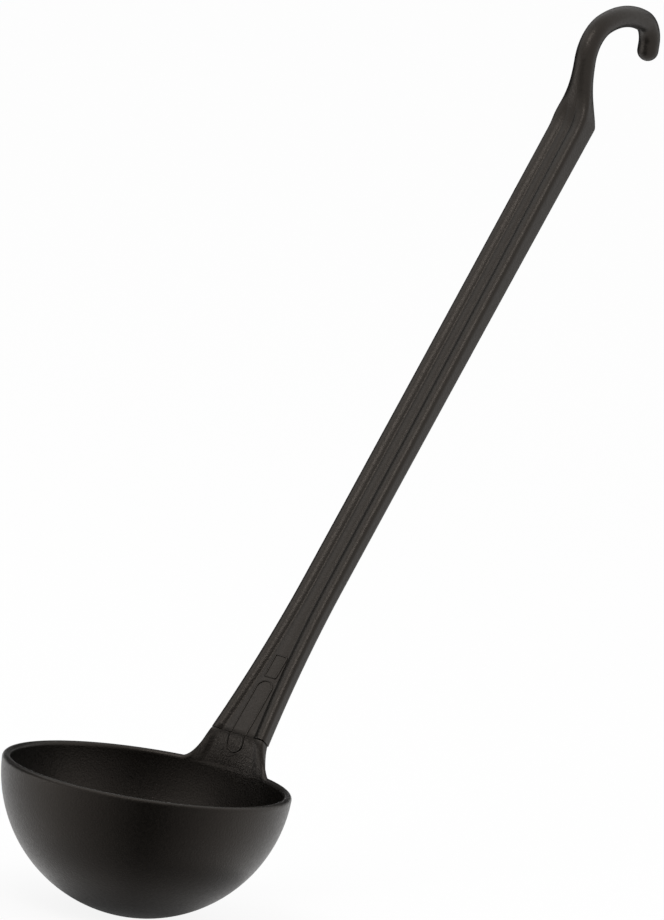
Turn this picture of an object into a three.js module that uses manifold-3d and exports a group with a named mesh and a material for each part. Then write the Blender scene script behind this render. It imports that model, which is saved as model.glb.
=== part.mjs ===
// A moulded kitchen ladle in two pieces. The bowl is a hemispherical cup whose rim rises into a flared
// neck and a hidden tang. The handle is a ribbed bar moulded round that tang, and its top turns upright
// and runs into a round hook. Millimetres: +Z up along the bowl's axis, +Y outward to the handle, +X across.
// Everything is laid out from the centre of the bowl's sphere, then moved so that the origin is the seat
// under the hook's crown.
import * as THREE from 'three';
import { mergeVertices } from 'three/addons/utils/BufferGeometryUtils.js';
import Module from 'manifold-3d';

const wasm = await Module();
wasm.setup();

// Bowl
const BOWL_RADIUS = 50; // outside of the sphere
const BOWL_WALL = 2.8;
const RIM_DROP = 0.55; // crest of the rim below the sphere's centre

// Grip, a straight bar
const FOOT_OUT = 50.16; // middle of the bar at the seam, out from the bowl's axis
const FOOT_RISE = 9.73; // middle of the bar at the seam, above the sphere's centre
const GRIP_LEAN = THREE.MathUtils.degToRad(33.5); // from upright
const GRIP_RUN = 261.1; // seam to shoulder
const GRIP_WIDTH_FOOT = 15.4; // before the flare is added
const GRIP_WIDTH_TOP = 13.8;
const FLARE_RUN = 65; // length of the widening above the seam
const FLARE_WIDTH = 7.8; // width that the flare adds at the seam
const GRIP_DEPTH_FOOT = 5.5;
const GRIP_DEPTH_TOP = 8.8;
const GRIP_DEPTH_POWER = 1.8; // the bar thickens faster towards the top
const BACK_EDGE_RADIUS = 1.2;

// Two rounded ribs along the front edges with a raised flat panel between them
const RIB_WIDTH = 4.2;
const RIB_SAG = 0.8; // crest of a rib above its foot lines
const GROOVE_WIDTH = 0.45;
const PANEL_DROP = 0.25; // panel below the crests of the ribs

// Shoulder, where the bar turns upright and shrinks to a round rod
const SHOULDER_FRONT_BLEND = 9; // tangent length of the hollow on the front
const SHOULDER_BACK_BLEND = 0.7; // tangent length of the corner on the back
const STEM_RISE = 21.6; // shoulder to the hook's first bend
const FRONT_TAPER_LEAD = 4; // the front starts to narrow this far below the shoulder and eases in and out
const BACK_TAPER_POWER = 1.9; // the back narrows at once from its corner

// Hook, three arcs of a round rod; headings are turned outward from straight up
const ROD_DIAMETER = 7.7;
const FIRST_BEND_RADIUS = 14.7;
const CROWN_START = THREE.MathUtils.degToRad(66);
const CROWN_RADIUS = 35.2;
const CROWN_END = THREE.MathUtils.degToRad(105.5);
const LAST_BEND_RADIUS = 8.7;
const TIP_HEADING = THREE.MathUtils.degToRad(180);
const TIP_STRAIGHT = 2.4; // straight rod before the rounded tip

// Neck
const SEAM_STEP = 0.25; // neck inside the handle's outline all round
const NECK_SPREAD = 3.4; // straight widening of each side from the seam to the rim
const ROOT_FILLET = 4; // hollow widening of each side where it runs out along the rim
const ROOT_DEPTH_IN = 6; // front of the root below the sphere's centre
const ROOT_TILT = THREE.MathUtils.degToRad(15); // front leans inward from its root to cover the rim
const ROOT_DEPTH_OUT = 10; // back of the root below the sphere's centre
const ROOT_COVER = 0.2; // back of the root inside the outer skin of the bowl's wall
const ROOT_REACH = 0.33; // lengths of the rails' end tangents, as shares of the rail
const SEAM_REACH = 0.2;
const NECK_EDGE = 0.6; // side rounding as a share of half the depth

// Tang and its socket
const TANG_LENGTH = 32;
const TANG_WIDTH_FOOT = 11.6;
const TANG_WIDTH_END = 6.4;
const TANG_THICKNESS = 1.6;
const TANG_ROOT = 3; // tang below the seam, inside the neck
const KEY_DIAMETER = 3.6; // holes that the handle's keys fill
const KEY_FIRST = 9;
const KEY_PITCH = 11;
const FIT_CLEARANCE = 0.3; // all round the tang, in the key holes and at the seam
const KEY_ROOT = 0.4; // key run into the socket's walls

// Fineness of the curved surfaces
const BOWL_TURN_STEPS = 72;
const BOWL_ARC_STEPS = 18;
const RIM_ARC_STEPS = 6;
const FLARE_STEPS = 8;
const GRIP_STEPS = 4;
const RIB_STEPS = 6;
const EDGE_STEPS = 3;
const HOOK_STEP = THREE.MathUtils.degToRad(8);
const TIP_STEPS = 4;
const NECK_FACE_STEPS = 5;
const TANG_ARC_STEPS = 10;
const KEY_TURN_STEPS = 20;
const WELD = 1e-4; // vertices nearer than this are one

// Places of the sections, closer where the shape changes fastest
const SHOULDER_SHARES = [1, 0.8, 0.6, 0.4, 0.2, 0.1]; // of the front blend, below the shoulder
const CORNER_SHARES = [-1, -0.5, 0, 0.5, 1]; // of the back blend, through the corner
const STEM_SHARES = [0.07, 0.12, 0.19, 0.27, 0.37, 0.48, 0.6, 0.73, 0.86]; // of the stem, above the shoulder
const NECK_SHARES = [0, 0.12, 0.22, 0.27, 0.29, 0.31, 0.34, 0.38, 0.44, 0.52, 0.62, 0.74, 0.87, 1];

const lerp = THREE.MathUtils.lerp;
const footCentre = new THREE.Vector2(FOOT_OUT, FOOT_RISE);
const innerRadius = BOWL_RADIUS - BOWL_WALL;
const rodRadius = ROD_DIAMETER / 2;

// Side-view directions as (outward, up) for a heading turned outward from straight up
const along = (heading) => new THREE.Vector2(Math.sin(heading), Math.cos(heading));
const backward = (heading) => new THREE.Vector2(Math.cos(heading), -Math.sin(heading));
const step = (point, direction, length) => point.clone().addScaledVector(direction, length);

function gripWidth(run) {
  const flare = Math.max(0, 1 - run / FLARE_RUN);
  return lerp(GRIP_WIDTH_FOOT, GRIP_WIDTH_TOP, run / GRIP_RUN) + FLARE_WIDTH * flare * flare;
}

const gripDepth = (run) => lerp(GRIP_DEPTH_FOOT, GRIP_DEPTH_TOP, (run / GRIP_RUN) ** GRIP_DEPTH_POWER);

// Side-view hook: first bend, flatter crown and last bend, each starting where the one before ends
function hookArcs() {
  const start = step(footCentre, along(GRIP_LEAN), GRIP_RUN).add(new THREE.Vector2(0, STEM_RISE));
  const arcs = [];
  let point = start;
  let heading = 0;
  const bends = [
    [FIRST_BEND_RADIUS, CROWN_START],
    [CROWN_RADIUS, CROWN_END],
    [LAST_BEND_RADIUS, TIP_HEADING],
  ];
  for (const [radius, end] of bends) {
    const centre = step(point, backward(heading), radius);
    arcs.push({ centre, radius, from: heading, to: end });
    point = step(centre, backward(end), -radius);
    heading = end;
  }
  return arcs;
}

const arcPoint = (arc, heading) => step(arc.centre, backward(heading), -arc.radius);

// The seat is under the highest point of the crown
const crown = hookArcs()[1];
const seat = arcPoint(crown, Math.PI / 2).add(new THREE.Vector2(0, -rodRadius));

// One half of the bar's section from the front middle to the back middle, as (across, back from the front)
function barHalf(width, depth) {
  const half = width / 2;
  const ribFoot = half - RIB_WIDTH;
  const ribRadius = (RIB_WIDTH * RIB_WIDTH) / (8 * RIB_SAG) + RIB_SAG / 2;
  const points = [
    new THREE.Vector2(ribFoot - 2 * GROOVE_WIDTH, PANEL_DROP),
    new THREE.Vector2(ribFoot - GROOVE_WIDTH, RIB_SAG),
  ];
  for (let i = 0; i <= RIB_STEPS; i += 1) {
    const across = RIB_WIDTH * (i / RIB_STEPS - 0.5);
    const drop = ribRadius - Math.sqrt(ribRadius * ribRadius - across * across);
    points.push(new THREE.Vector2(half - RIB_WIDTH / 2 + across, drop));
  }
  for (let i = 0; i <= EDGE_STEPS; i += 1) {
    const turn = (Math.PI / 2) * (i / EDGE_STEPS);
    const across = half - BACK_EDGE_RADIUS * (1 - Math.cos(turn));
    points.push(new THREE.Vector2(across, depth - BACK_EDGE_RADIUS * (1 - Math.sin(turn))));
  }
  return points;
}

// Whole section of the handle, mirrored about the middle and centred on its depth. The rounding of the front
// and of the back goes from 0 for the bar to 1 for the rod.
function handleSection(width, depth, frontRounding, backRounding) {
  const half = barHalf(width, depth);
  const turn = Math.PI / (half.length + 1);
  const blended = (point, i) => {
    const rodPoint = new THREE.Vector2(Math.sin(i * turn), -Math.cos(i * turn)).multiplyScalar(rodRadius);
    const rounding = lerp(frontRounding, backRounding, point.y / depth);
    return new THREE.Vector2(point.x, point.y - depth / 2).lerp(rodPoint, rounding);
  };
  const front = blended(new THREE.Vector2(0, PANEL_DROP), 0);
  const right = half.map((point, i) => blended(point, i + 1));
  const back = blended(new THREE.Vector2(0, depth), half.length + 1);
  const left = right.map((point) => new THREE.Vector2(-point.x, point.y)).reverse();
  return [front, ...right, back, ...left];
}

// A section set in the side view: middle of its depth and the direction from front to back
function placeSection(section, middle, direction) {
  return section.map((point) => {
    const side = step(middle, direction, point.y);
    return new THREE.Vector3(point.x, side.x, side.y);
  });
}

// Solid through rings of equal length. The first end has a flat cap, or none where its ring is folded flat;
// the last end has a flat cap or a pole.
function loft(rings, firstSection, lastSection, pole) {
  const size = rings[0].length;
  const vertices = rings.flat();
  const triangles = [];
  for (let r = 0; r + 1 < rings.length; r += 1) {
    for (let i = 0; i < size; i += 1) {
      const a = r * size + i;
      const b = r * size + ((i + 1) % size);
      triangles.push(a, b, a + size, b, b + size, a + size);
    }
  }
  if (firstSection) {
    for (const [a, b, c] of THREE.ShapeUtils.triangulateShape(firstSection, [])) {
      triangles.push(a, c, b);
    }
  }
  const last = (rings.length - 1) * size;
  if (pole) {
    vertices.push(pole);
    for (let i = 0; i < size; i += 1) {
      triangles.push(last + i, last + ((i + 1) % size), vertices.length - 1);
    }
  } else {
    for (const [a, b, c] of THREE.ShapeUtils.triangulateShape(lastSection, [])) {
      triangles.push(last + a, last + b, last + c);
    }
  }
  const geometry = new THREE.BufferGeometry();
  const positions = vertices.flatMap((vertex) => vertex.toArray());
  geometry.setAttribute('position', new THREE.Float32BufferAttribute(positions, 3));
  geometry.setIndex(triangles);
  return geometry;
}

function toSolid(geometry) {
  const bare = geometry.clone();
  bare.deleteAttribute('normal');
  bare.deleteAttribute('uv');
  const merged = mergeVertices(bare, WELD);
  const vertProperties = new Float32Array(merged.attributes.position.array);
  const triVerts = new Uint32Array(merged.index.array);
  return new wasm.Manifold(new wasm.Mesh({ numProp: 3, vertProperties, triVerts }));
}

function toGeometry(solid) {
  const mesh = solid.getMesh();
  const geometry = new THREE.BufferGeometry();
  geometry.setAttribute('position', new THREE.Float32BufferAttribute(mesh.vertProperties, 3));
  geometry.setIndex(Array.from(mesh.triVerts));
  geometry.translate(0, -seat.x, -seat.y);
  geometry.computeVertexNormals();
  return geometry;
}

// Rail round a corner in the side view: straight in, a curve of the given tangent length, straight out
function cornerRail(corner, into, outOf, blend, distance) {
  if (Math.abs(distance) >= blend) {
    return step(corner, distance < 0 ? into : outOf, distance);
  }
  const start = step(corner, into, -blend);
  const end = step(corner, outOf, blend);
  const curve = new THREE.QuadraticBezierCurve(start, corner, end);
  return curve.getPoint((distance + blend) / (2 * blend));
}

// Handle bar and hook as one loft from the seam to the tip
function handleBody() {
  const rings = [];
  const lean = along(GRIP_LEAN);
  const across = backward(GRIP_LEAN);
  const gripPoint = (run, side) => step(step(footCentre, lean, run), across, (side * gripDepth(run)) / 2);
  const addStation = (front, back, width, frontRounding, backRounding) => {
    const middle = front.clone().add(back).multiplyScalar(0.5);
    const depth = front.distanceTo(back);
    const direction = back.clone().sub(front).normalize();
    rings.push(placeSection(handleSection(width, depth, frontRounding, backRounding), middle, direction));
  };

  const straightEnd = GRIP_RUN - SHOULDER_FRONT_BLEND - GRIP_DEPTH_TOP;
  const flareRun = (i) => lerp(FIT_CLEARANCE, FLARE_RUN, i / FLARE_STEPS);
  const straightRun = (i) => lerp(FLARE_RUN, straightEnd, i / GRIP_STEPS);
  for (let i = 0; i <= FLARE_STEPS + GRIP_STEPS; i += 1) {
    const run = i <= FLARE_STEPS ? flareRun(i) : straightRun(i - FLARE_STEPS);
    addStation(gripPoint(run, -1), gripPoint(run, 1), gripWidth(run), 0, 0);
  }

  const up = new THREE.Vector2(0, 1);
  const bend = step(footCentre, lean, GRIP_RUN);
  const railCorner = (side) => {
    const last = gripPoint(straightEnd, side);
    const into = gripPoint(GRIP_RUN, side).sub(last).normalize();
    const out = bend.x + side * rodRadius;
    return { into, corner: step(last, into, (out - last.x) / into.x) };
  };
  const front = railCorner(-1);
  const back = railCorner(1);
  const stemTop = bend.y + STEM_RISE;
  const shoulderRuns = [
    ...SHOULDER_SHARES.map((share) => -share * SHOULDER_FRONT_BLEND),
    ...CORNER_SHARES.map((share) => share * SHOULDER_BACK_BLEND),
    ...STEM_SHARES.map((share) => share * STEM_RISE),
  ];
  for (const run of shoulderRuns) {
    const risen = Math.max(0, run / STEM_RISE);
    const railRun = (corner) => (run < 0 ? run : risen * (stemTop - corner.y));
    const frontPoint = cornerRail(front.corner, front.into, up, SHOULDER_FRONT_BLEND, railRun(front.corner));
    const backPoint = cornerRail(back.corner, back.into, up, SHOULDER_BACK_BLEND, railRun(back.corner));
    const frontRounding = THREE.MathUtils.smoothstep(run, -FRONT_TAPER_LEAD, STEM_RISE);
    const backRounding = 1 - (1 - risen) ** BACK_TAPER_POWER;
    addStation(frontPoint, backPoint, gripWidth(GRIP_RUN + Math.min(0, run)), frontRounding, backRounding);
  }

  const rod = handleSection(GRIP_WIDTH_TOP, ROD_DIAMETER, 1, 1);
  const arcs = hookArcs();
  for (const arc of arcs) {
    const count = Math.ceil((arc.to - arc.from) / HOOK_STEP);
    for (let i = arc === arcs[0] ? 0 : 1; i <= count; i += 1) {
      const heading = lerp(arc.from, arc.to, i / count);
      rings.push(placeSection(rod, arcPoint(arc, heading), backward(heading)));
    }
  }
  const tip = step(arcPoint(arcs[arcs.length - 1], TIP_HEADING), along(TIP_HEADING), TIP_STRAIGHT);
  for (let i = 0; i < TIP_STEPS; i += 1) {
    const turn = (Math.PI / 2) * (i / TIP_STEPS);
    const middle = step(tip, along(TIP_HEADING), rodRadius * Math.sin(turn));
    const shrunk = rod.map((point) => point.clone().multiplyScalar(Math.cos(turn)));
    rings.push(placeSection(shrunk, middle, backward(TIP_HEADING)));
  }
  const end = step(tip, along(TIP_HEADING), rodRadius);
  const footSection = handleSection(gripWidth(FIT_CLEARANCE), gripDepth(FIT_CLEARANCE), 0, 0);
  return loft(rings, footSection, null, new THREE.Vector3(0, end.x, end.y));
}

// Bowl shell turned about its axis: outside, round rim, inside
function bowlShell() {
  const rimCentre = new THREE.Vector2(BOWL_RADIUS - BOWL_WALL / 2, -RIM_DROP - BOWL_WALL / 2);
  const outerEnd = Math.asin(rimCentre.y / BOWL_RADIUS);
  const innerEnd = Math.asin(rimCentre.y / innerRadius);
  const points = [];
  for (let i = 0; i <= BOWL_ARC_STEPS; i += 1) {
    const turn = lerp(-Math.PI / 2, outerEnd, i / BOWL_ARC_STEPS);
    points.push(new THREE.Vector2(Math.cos(turn), Math.sin(turn)).multiplyScalar(BOWL_RADIUS));
  }
  const outer = points[points.length - 1];
  const inner = new THREE.Vector2(Math.cos(innerEnd), Math.sin(innerEnd)).multiplyScalar(innerRadius);
  const rimHalf = (outer.x - inner.x) / 2;
  for (let i = 1; i < RIM_ARC_STEPS; i += 1) {
    const turn = Math.PI * (i / RIM_ARC_STEPS);
    const across = inner.x + rimHalf + rimHalf * Math.cos(turn);
    points.push(new THREE.Vector2(across, rimCentre.y + (BOWL_WALL / 2) * Math.sin(turn)));
  }
  for (let i = 0; i <= BOWL_ARC_STEPS; i += 1) {
    const turn = lerp(innerEnd, -Math.PI / 2, i / BOWL_ARC_STEPS);
    points.push(new THREE.Vector2(Math.cos(turn), Math.sin(turn)).multiplyScalar(innerRadius));
  }
  points[0].x = 0;
  points[points.length - 1].x = 0;
  return new THREE.LatheGeometry(points, BOWL_TURN_STEPS).rotateX(Math.PI / 2);
}

// Neck: a loft between a front and a back rail, curved like the wall at its root and flat at the seam
function neckBody() {
  const lean = along(GRIP_LEAN);
  const seamDepth = GRIP_DEPTH_FOOT - 2 * SEAM_STEP;
  const seamFront = step(footCentre, backward(GRIP_LEAN), -seamDepth / 2);
  const seamBack = step(footCentre, backward(GRIP_LEAN), seamDepth / 2);
  const wallMiddle = BOWL_RADIUS - BOWL_WALL / 2;
  const rootOut = BOWL_RADIUS - ROOT_COVER;
  const onSphere = (radius, depth) => new THREE.Vector2(Math.sqrt(radius ** 2 - depth ** 2), -depth);
  const rail = (start, heading, end) => {
    const length = start.distanceTo(end);
    const afterStart = step(start, along(heading), ROOT_REACH * length);
    const beforeEnd = step(end, lean, -SEAM_REACH * length);
    return new THREE.CubicBezierCurve(start, afterStart, beforeEnd, end);
  };
  const frontRail = rail(onSphere(wallMiddle, ROOT_DEPTH_IN), -ROOT_TILT, seamFront);
  const backRail = rail(onSphere(rootOut, ROOT_DEPTH_OUT), Math.asin(ROOT_DEPTH_OUT / rootOut), seamBack);
  const seamHalf = gripWidth(0) / 2 - SEAM_STEP;

  const curved = (ring, likeWall) => {
    for (const vertex of ring) {
      vertex.y -= likeWall * (wallMiddle - Math.sqrt(wallMiddle ** 2 - vertex.x ** 2));
    }
    return ring;
  };

  let seamSection = null;
  const rings = [];
  for (const share of NECK_SHARES) {
    const front = frontRail.getPoint(share);
    const back = backRail.getPoint(share);
    const middle = front.clone().add(back).multiplyScalar(0.5);
    const direction = back.clone().sub(front).normalize();
    const depth = front.distanceTo(back);
    const fall = 1 - THREE.MathUtils.clamp((front.y + RIM_DROP) / (seamFront.y + RIM_DROP), 0, 1);
    const half = seamHalf + NECK_SPREAD * fall + ROOT_FILLET * (1 - Math.sqrt(1 - fall ** 2));
    const likeWall = fall;
    const edgeDepth = lerp(depth, Math.min(depth, BOWL_WALL), likeWall);
    const edge = (edgeDepth / 2) * NECK_EDGE;

    const right = [];
    for (let i = 1; i <= NECK_FACE_STEPS; i += 1) {
      right.push(new THREE.Vector2((half - edge) * (i / NECK_FACE_STEPS), 0));
    }
    for (let i = 1; i <= 2 * EDGE_STEPS; i += 1) {
      const turn = (Math.PI / 2) * (i / EDGE_STEPS);
      const flat = i > EDGE_STEPS ? edgeDepth - 2 * edge : 0;
      const across = half - edge + edge * Math.sin(turn);
      right.push(new THREE.Vector2(across, flat + edge * (1 - Math.cos(turn))));
    }
    for (let i = NECK_FACE_STEPS - 1; i >= 1; i -= 1) {
      const across = (half - edge) * (i / NECK_FACE_STEPS);
      right.push(new THREE.Vector2(across, lerp(depth, edgeDepth, (i / NECK_FACE_STEPS) ** 2)));
    }
    const left = right.map((point) => new THREE.Vector2(-point.x, point.y)).reverse();
    const outline = [new THREE.Vector2(0, 0), ...right, new THREE.Vector2(0, depth), ...left];
    const section = outline.map((point) => new THREE.Vector2(point.x, point.y - depth / 2));
    if (share === 0) {
      const midline = section.map((point) => new THREE.Vector2(point.x, 0));
      rings.push(curved(placeSection(midline, middle, direction), likeWall));
    }
    rings.push(curved(placeSection(section, middle, direction), likeWall));
    seamSection = section;
  }
  return loft(rings, null, seamSection, null);
}

// Turns a shape drawn across and along the grip into a plate centred on the grip's depth
function gripPlate(shape, thickness) {
  const options = { depth: thickness, bevelEnabled: false, curveSegments: TANG_ARC_STEPS };
  const plate = new THREE.ExtrudeGeometry(shape, options);
  plate.translate(0, 0, -thickness / 2);
  return plate.applyMatrix4(gripFrame());
}

// Grip axes: across, along the bar, and out of its front; the origin is the middle of the bar at the seam
function gripFrame() {
  const lean = along(GRIP_LEAN);
  const front = backward(GRIP_LEAN).negate();
  const frame = new THREE.Matrix4().makeBasis(
    new THREE.Vector3(1, 0, 0),
    new THREE.Vector3(0, lean.x, lean.y),
    new THREE.Vector3(0, front.x, front.y),
  );
  return frame.setPosition(0, FOOT_OUT, FOOT_RISE);
}

// Tapered tongue with a rounded end, grown by a margin for the socket that takes it
function tangShape(margin) {
  const foot = TANG_WIDTH_FOOT / 2 + margin;
  const end = TANG_WIDTH_END / 2 + margin;
  const shoulder = TANG_LENGTH + margin - end;
  const shape = new THREE.Shape();
  shape.moveTo(-foot, -TANG_ROOT);
  shape.lineTo(foot, -TANG_ROOT);
  shape.lineTo(foot, 0);
  shape.lineTo(end, shoulder);
  shape.absarc(0, shoulder, end, 0, Math.PI, false);
  shape.lineTo(-foot, 0);
  return shape;
}

const keyRuns = [KEY_FIRST, KEY_FIRST + KEY_PITCH];

function bowlPiece() {
  const tang = tangShape(0);
  for (const run of keyRuns) {
    tang.holes.push(new THREE.Path().absarc(0, run, KEY_DIAMETER / 2, 0, 2 * Math.PI, true));
  }
  const cup = toSolid(bowlShell()).add(toSolid(neckBody()));
  return cup.add(toSolid(gripPlate(tang, TANG_THICKNESS)));
}

function handlePiece() {
  const socketDepth = TANG_THICKNESS + 2 * FIT_CLEARANCE;
  let solid = toSolid(handleBody()).subtract(toSolid(gripPlate(tangShape(FIT_CLEARANCE), socketDepth)));
  const keyRadius = KEY_DIAMETER / 2 - FIT_CLEARANCE;
  for (const run of keyRuns) {
    const key = new THREE.CylinderGeometry(keyRadius, keyRadius, socketDepth + 2 * KEY_ROOT, KEY_TURN_STEPS);
    key.rotateX(Math.PI / 2).translate(0, run, 0).applyMatrix4(gripFrame());
    solid = solid.add(toSolid(key));
  }
  return solid;
}

function named(name, solid, material) {
  const mesh = new THREE.Mesh(toGeometry(solid), material);
  mesh.name = name;
  return mesh;
}

// Satin warm-black moulded composite
const composite = new THREE.MeshStandardMaterial({ color: 0x2b2926, roughness: 0.45, metalness: 0 });

const ladle = new THREE.Group();
ladle.name = 'ladle';
ladle.add(named('bowl', bowlPiece(), composite));
ladle.add(named('handle', handlePiece(), composite));

export default ladle;
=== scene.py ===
import math

import bmesh
import bpy
import numpy as np
from mathutils import Matrix, Vector


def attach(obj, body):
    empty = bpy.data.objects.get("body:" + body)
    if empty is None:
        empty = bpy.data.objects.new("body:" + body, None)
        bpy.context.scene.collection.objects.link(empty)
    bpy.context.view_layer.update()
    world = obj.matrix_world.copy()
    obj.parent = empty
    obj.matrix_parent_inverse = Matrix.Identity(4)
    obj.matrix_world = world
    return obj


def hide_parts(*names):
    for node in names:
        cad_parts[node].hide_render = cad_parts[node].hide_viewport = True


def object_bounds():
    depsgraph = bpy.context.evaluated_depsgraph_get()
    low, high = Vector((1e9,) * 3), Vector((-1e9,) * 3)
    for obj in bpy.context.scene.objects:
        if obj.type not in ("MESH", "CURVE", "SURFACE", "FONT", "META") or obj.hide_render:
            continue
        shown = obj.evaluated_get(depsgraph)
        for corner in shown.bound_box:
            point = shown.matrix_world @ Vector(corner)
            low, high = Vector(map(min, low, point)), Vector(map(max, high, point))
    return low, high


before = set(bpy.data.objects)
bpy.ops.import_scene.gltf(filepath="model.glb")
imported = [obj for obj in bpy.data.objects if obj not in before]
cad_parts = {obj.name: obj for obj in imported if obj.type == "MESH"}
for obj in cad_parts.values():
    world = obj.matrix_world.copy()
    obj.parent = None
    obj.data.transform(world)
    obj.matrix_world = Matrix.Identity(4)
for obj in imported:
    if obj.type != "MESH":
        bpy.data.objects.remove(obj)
cad_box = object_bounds()

# The object's sizes are in millimetres from the centre of the bowl's sphere: x across, y outward to the
# handle, z up. The shared ones repeat the solid model's values. Vertices are moved to the hook's seat and
# set in metres.
MM = 0.001

# Bowl
BOWL_RADIUS = 50.0
BOWL_WALL = 2.8
RIM_DROP = 0.55

# Grip
FOOT = np.array([50.16, 9.73])
GRIP_LEAN = math.radians(33.5)
GRIP_RUN = 261.1
GRIP_WIDTH_FOOT = 15.4
GRIP_WIDTH_TOP = 13.8
FLARE_RUN = 65.0
FLARE_WIDTH = 7.8
GRIP_DEPTH_FOOT = 5.5
GRIP_DEPTH_TOP = 8.8
GRIP_DEPTH_POWER = 1.8
BACK_EDGE_RADIUS = 1.2
RIB_OUTSIDE = 2.15  # from a rib's crest to the bar's side
RIB_INSIDE = 2.95  # from a rib's crest to the panel
RIB_INSIDE_FOOT = 2.4  # the same at the seam
RIB_SAG = 1.0  # fall of a rib towards the bar's side
RIB_REACH = 0.98  # most of a rib's radius that its inner side uses
GROOVE_DEPTH = 1.45  # fall of a rib towards the panel
GROOVE_FILLET = 0.5  # difference in depth over which rib and panel blend
PANEL_DROP = 1.0  # depth of the crowned panel's middle line below the ribs
PANEL_CROWN = GROOVE_DEPTH - PANEL_DROP
RELIEF_FOOT = 0.9  # share of the relief that is left at the seam
RELIEF_TOP = 0.75  # the same at the shoulder
EDGE_BREAK = 0.15  # broken edge round the seam

# Shoulder and hook
SHOULDER_FRONT_BLEND = 7.0
SHOULDER_BACK_BLEND = 0.7
STRAIGHT_END = GRIP_RUN - SHOULDER_FRONT_BLEND - GRIP_DEPTH_TOP
STEM_RISE = 21.6
FRONT_TAPER_START = -2.0
BACK_TAPER_LEAD = 1.5
BACK_TAPER_POWER = 3.0
RELIEF_RUN_OUT = (-7.0, 12.0)  # ribs and panel fade out between these runs from the shoulder
ROD_RADIUS = 3.85
HOOK_BENDS = ((14.7, math.radians(66)), (35.2, math.radians(105.5)), (8.7, math.radians(180)))
TIP_STRAIGHT = 2.4

# Neck
SEAM_STEP = 0.25
SEAM_GAP = 0.3
NECK_SPREAD = 3.4  # widening of each side from the seam to the rim
ROOT_FILLET = 4.0  # rounding where the neck's sides run into the rim
ROOT_FILLET_BACK = 1.0  # the same on the back
ROOT_DEPTH_OUT = 10.0  # distance below the bowl's centre where the wall starts to thicken
ROOT_REACH = 0.33
SEAM_REACH = 0.2
NECK_DEPTH_POWER = 2.0
NECK_EDGE = 1.1  # rounding of the neck's side edges at the seam
FLANK_CREST = 1.8  # the neck's raised sides, by distance from the side edge
FLANK_FOOT = 4.6
FLANK_SAG = 0.2
FACE_STRAIGHTNESS = 0.5  # 1 makes the face straight from the rim's edge to the seam
FACE_DROP = 0.1
LIP_DROP = 0.1  # rounded lip that carries the rim's inner edge across the neck
LIP_RISE = 1.2
LIP_FADE = 2.5

# Bare raised frames on the front: half width, lower end and upper end along the grip from the seam
OBLONG_FRAME = (3.2, -6.6, 22.2)
SHORT_FRAME = (2.4, 23.8, 32.6)
SHORT_FRAME_CORNER = 0.6
FRAME_LEAN = 0.016  # the frames drift off the middle line by this share of their height
BEAD_WIDTH = 0.7
BEAD_HEIGHT = 0.3
BEAD_ROOT = 0.1

# Camera fitted to the photograph, an image of 664 by 920 pixels
IMAGE_HEIGHT = 920
FOCAL_PIXELS = 8802
CAMERA_AZIMUTH = math.radians(35.0)
CAMERA_ELEVATION = math.radians(8.051)
CAMERA_ROLL = math.radians(9.105)
CAMERA_DISTANCE = 3000.0
CAMERA_SHIFT = (62.80, 106.30)  # camera's sideways and upward offset from the bowl
SENSOR = 36.0

# Steps along the stretches of half of the handle's section, and the rod's angles where they end
FRONT_STEPS = 36
RIB_STEPS = 9
SIDE_STEPS = 10
BACK_EDGE_STEPS = 8
BACK_STEPS = 10
ROD_STEP = math.pi / 14
ROD_MARKS = (0, 6, 9, 10, 13, 14)  # in such steps from the front
SOFTENING = 4  # passes that round the section's small edges

# Sections along the handle
FLARE_STATIONS = 36
GRIP_STATIONS = 33
BELOW_STATIONS = 22
CORNER_STATIONS = 8
STEM_STATIONS = 42
HOOK_STEP = math.radians(3)
TIP_STEPS = 12

# Points of the line up the bowl's wall and neck, columns round the bowl and rows up its wall
WALL_POINTS = 300
NECK_POINTS = 200
NECK_SIDE_COLUMNS = 39
SEAM_COLUMNS = 60
RIM_COLUMNS = 180
BASE_DROP = 14.0  # below this distance under the rim the columns run straight to the bowl's bottom
LOWER_ROWS = 36
UPPER_ROWS = 90
EDGE_STEPS = 6
EDGE_SIDE_STEPS = 3
EDGE_SHARE = 0.46  # most of the depth that a rounded edge takes, so that a narrow side is left

# Points across a frame's bead and along its stretches
BEAD_POINTS = 7
FRAME_BEND_POINTS = 25
FRAME_UPPER_POINTS = 12
FRAME_LOWER_POINTS = 6
FRAME_CORNER_POINTS = 7

SHARP_ANGLE = math.radians(38)  # edges that are sharper than this aren't smoothed over


def along(heading):
    """Side-view direction (outward, up) for a heading turned outward from straight up."""
    return np.array([math.sin(heading), math.cos(heading)])


def backward(heading):
    return np.array([math.cos(heading), -math.sin(heading)])


def lerp(a, b, share):
    return a + (b - a) * share


def smoothstep(value, low, high):
    share = np.clip((value - low) / (high - low), 0.0, 1.0)
    return share * share * (3 - 2 * share)


def bezier(points, share):
    """Point on a Bezier curve of any order, by repeated steps between its control points."""
    points = [np.asarray(point, float) for point in points]
    while len(points) > 1:
        points = [lerp(a, b, share) for a, b in zip(points, points[1:])]
    return points[0]


def arc_radius(half_chord, sag):
    return (half_chord ** 2 + sag ** 2) / (2 * sag)


def arc_sag(radius, half_chord):
    return radius - math.sqrt(radius ** 2 - half_chord ** 2)


def grip_width(run):
    flare = max(0.0, 1 - run / FLARE_RUN)
    return lerp(GRIP_WIDTH_FOOT, GRIP_WIDTH_TOP, run / GRIP_RUN) + FLARE_WIDTH * flare * flare


def grip_depth(run):
    return lerp(GRIP_DEPTH_FOOT, GRIP_DEPTH_TOP, (run / GRIP_RUN) ** GRIP_DEPTH_POWER)


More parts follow.
